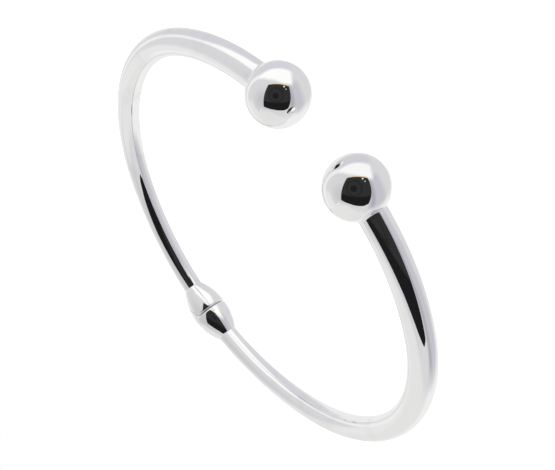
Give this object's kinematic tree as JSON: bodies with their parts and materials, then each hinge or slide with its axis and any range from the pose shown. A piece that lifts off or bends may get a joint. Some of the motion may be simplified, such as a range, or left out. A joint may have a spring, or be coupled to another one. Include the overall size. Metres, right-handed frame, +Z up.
{
  "type": "hinged torque bangle",
  "caption": "Open torque bangle of round polished silver wire with ball ends and an olive-shaped hinge at the back.",
  "frame": {"origin": "middle of the bangle, on the surface that its ball ends rest on", "axes": "+Z up through the wrist opening, +Y towards the hinge at the back, +X towards the right arm; the mouth faces -Y"},
  "size_m": [0.0714, 0.0652, 0.008],
  "materials": {
    "polished_silver": "mirror-polished sterling silver",
    "pin_silver": "polished silver pin, its ends filed flush with the olive"
  },
  "bodies": {
    "left_body": {"left_arm": "polished_silver", "hinge_pin": "pin_silver"},
    "right_body": {"right_arm": "polished_silver"}
  },
  "joints": [
    {"name": "hinge", "type": "hinge", "parent": "left_body", "child": "right_body", "pos_m": [0, 0.03019, 0.004], "axis": [0, 0, 1], "range_deg": [0, 35], "stiffness_Nm_per_rad": 0.1}
  ]
}
